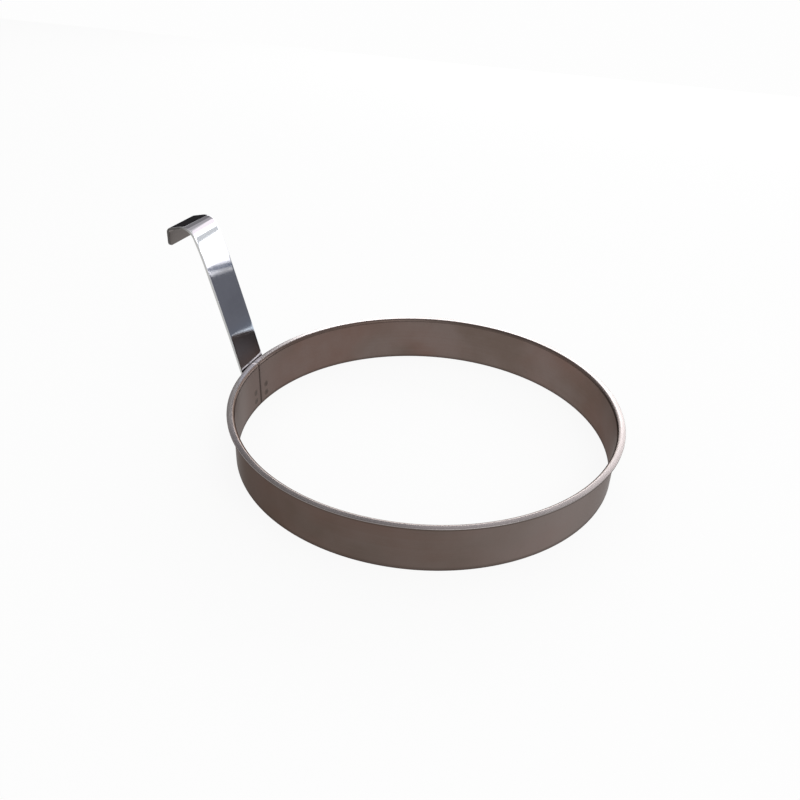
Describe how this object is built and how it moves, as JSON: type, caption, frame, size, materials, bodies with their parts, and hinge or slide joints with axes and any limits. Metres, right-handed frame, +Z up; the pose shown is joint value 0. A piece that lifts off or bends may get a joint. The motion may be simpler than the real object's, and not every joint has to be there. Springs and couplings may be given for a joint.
{
  "type": "ring mould",
  "caption": "Open steel ring mould for tapioca pancakes: rolled band with a flanged lip and a leaning strip handle, hooked at the top, spot-welded over the joint.",
  "frame": {"origin": "on the base plane, at the middle of the mould's footprint", "axes": "+Z up along the ring's axis, +X from the ring towards the handle"},
  "size_m": [0.2482, 0.2084, 0.1048],
  "materials": {
    "ring_steel": "satin",
    "handle_steel": "polished",
    "weld_steel": "matte"
  },
  "bodies": {
    "root": {"mould_ring": "ring_steel", "handle_strip": "handle_steel", "spot_weld_lower_left": "weld_steel", "spot_weld_lower_right": "weld_steel", "spot_weld_upper_left": "weld_steel", "spot_weld_upper_right": "weld_steel"}
  },
  "joints": []
}
